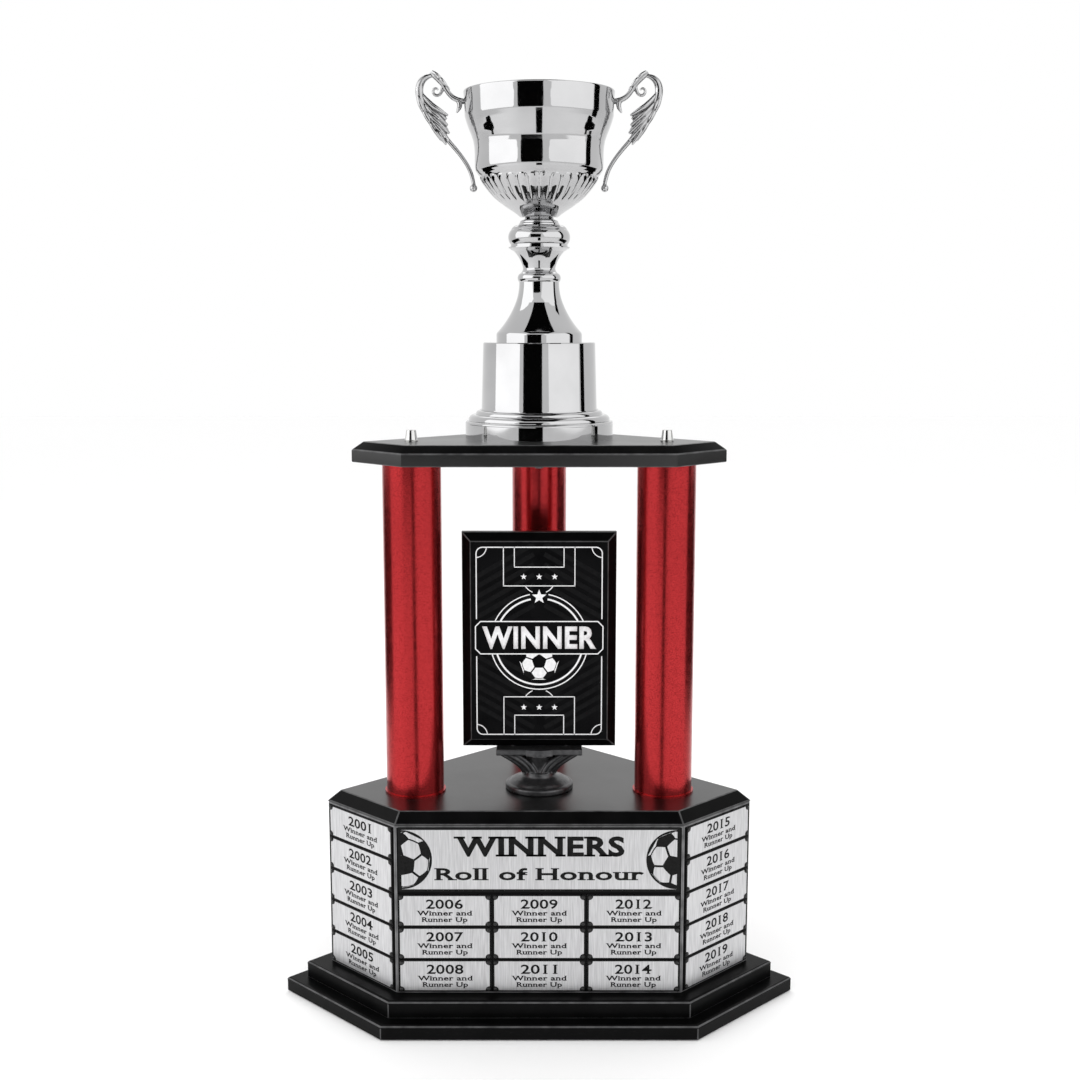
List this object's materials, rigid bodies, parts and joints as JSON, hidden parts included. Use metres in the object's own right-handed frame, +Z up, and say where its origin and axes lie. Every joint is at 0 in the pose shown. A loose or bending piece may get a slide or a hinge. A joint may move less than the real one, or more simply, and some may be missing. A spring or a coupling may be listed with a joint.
{
  "type": "cup trophy",
  "caption": "Tall two-handled silver cup on a black top board with three red columns, a plaque on a cast stand and a five-sided black box base with rows of silver year plates.",
  "frame": {"origin": "on the resting surface, under the middle of the lower plinth's outline", "axes": "+Z up; the front face with the header plate looks along -Y; +X is to the right seen from the front"},
  "size_m": [0.3846, 0.2718, 0.6855],
  "materials": {
    "felt": "black pressed felt",
    "black_board": "satin black laminate on fibreboard",
    "raw_wood": "bare softwood",
    "plate_silver": "brushed, with black edges and figures",
    "pin_black": "gloss black",
    "red_foil": "metallised red film",
    "plug_plastic": "moulded",
    "zinc_steel": "bright zinc",
    "bright_nickel": "polished nickel",
    "cup_silver": "bright silver plate",
    "handle_silver": "bright silver plate over a casting",
    "weight_iron": "rough cast",
    "face_black": "gloss black with light line work",
    "stand_grey": "dark gunmetal plate"
  },
  "bodies": {
    "root": {"base_felt": "felt", "base_top": "black_board", "cap_nuts": "bright_nickel", "column_plugs": "plug_plastic", "column_rings": "red_foil", "corner_blocks": "raw_wood", "cup_bowl": "cup_silver", "cup_collar": "cup_silver", "cup_drum": "cup_silver", "cup_foot": "cup_silver", "cup_foot_weight": "weight_iron", "cup_knob": "cup_silver", "cup_rod": "zinc_steel", "cup_stem": "cup_silver", "flat_washers": "zinc_steel", "front_panel": "black_board", "front_plate_pins": "pin_black", "handle_rivets": "zinc_steel", "header_plate": "plate_silver", "hex_nuts": "zinc_steel", "left_back_panel": "black_board", "left_column": "red_foil", "left_handle": "handle_silver", "left_plate_pins": "pin_black", "left_side_panel": "black_board", "lower_plinth": "black_board", "plaque_board": "black_board", "plaque_face": "face_black", "plaque_screws": "zinc_steel", "plaque_stand": "stand_grey", "rear_column": "red_foil", "right_back_panel": "black_board", "right_column": "red_foil", "right_handle": "handle_silver", "right_plate_pins": "pin_black", "right_side_panel": "black_board", "stand_bolt": "zinc_steel", "tie_rods": "zinc_steel", "top_board": "black_board", "upper_plinth": "black_board", "year_plate_01": "plate_silver", "year_plate_02": "plate_silver", "year_plate_03": "plate_silver", "year_plate_04": "plate_silver", "year_plate_05": "plate_silver", "year_plate_06": "plate_silver", "year_plate_07": "plate_silver", "year_plate_08": "plate_silver", "year_plate_09": "plate_silver", "year_plate_10": "plate_silver", "year_plate_11": "plate_silver", "year_plate_12": "plate_silver", "year_plate_13": "plate_silver", "year_plate_14": "plate_silver", "year_plate_15": "plate_silver", "year_plate_16": "plate_silver", "year_plate_17": "plate_silver", "year_plate_18": "plate_silver", "year_plate_19": "plate_silver"}
  },
  "joints": []
}
